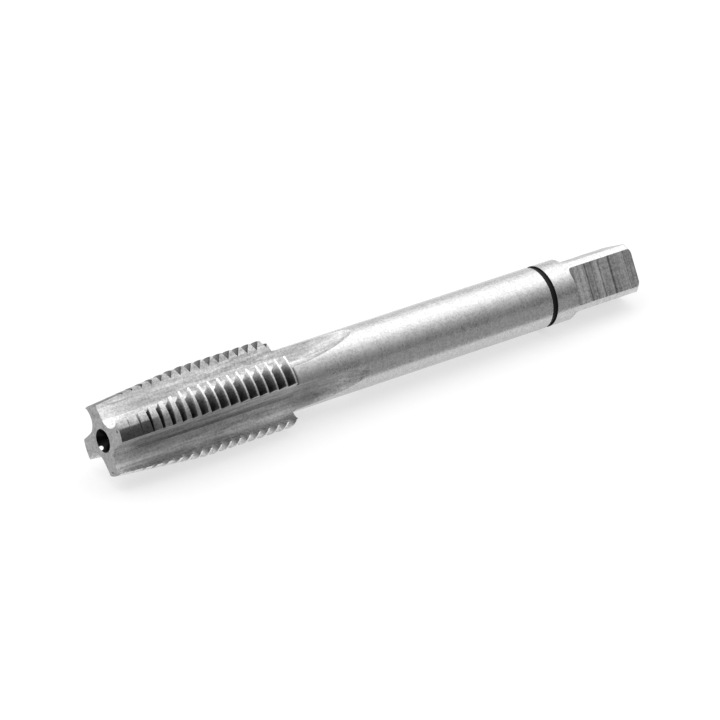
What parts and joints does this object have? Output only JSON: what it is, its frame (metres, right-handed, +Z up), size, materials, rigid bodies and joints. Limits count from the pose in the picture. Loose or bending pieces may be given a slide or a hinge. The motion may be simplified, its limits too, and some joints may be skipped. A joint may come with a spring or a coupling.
{
  "type": "hand thread tap",
  "caption": "Straight-fluted hand tap with a tapered lead, round shank with one ring groove, and a driving square.",
  "frame": {"origin": "Centre of the part's box, on the surface that it lies on", "axes": "+X from the cutting end to the driving square, +Z up from the surface; the tap's own axis dips by 1.25 degrees towards the square, because the thread is thicker than the shank"},
  "size_m": [0.0702, 0.009, 0.0093],
  "materials": {
    "ground_steel": "ground, satin, with fine grinding lines; ring groove blackened"
  },
  "bodies": {
    "root": {"tap": "ground_steel"}
  },
  "joints": []
}
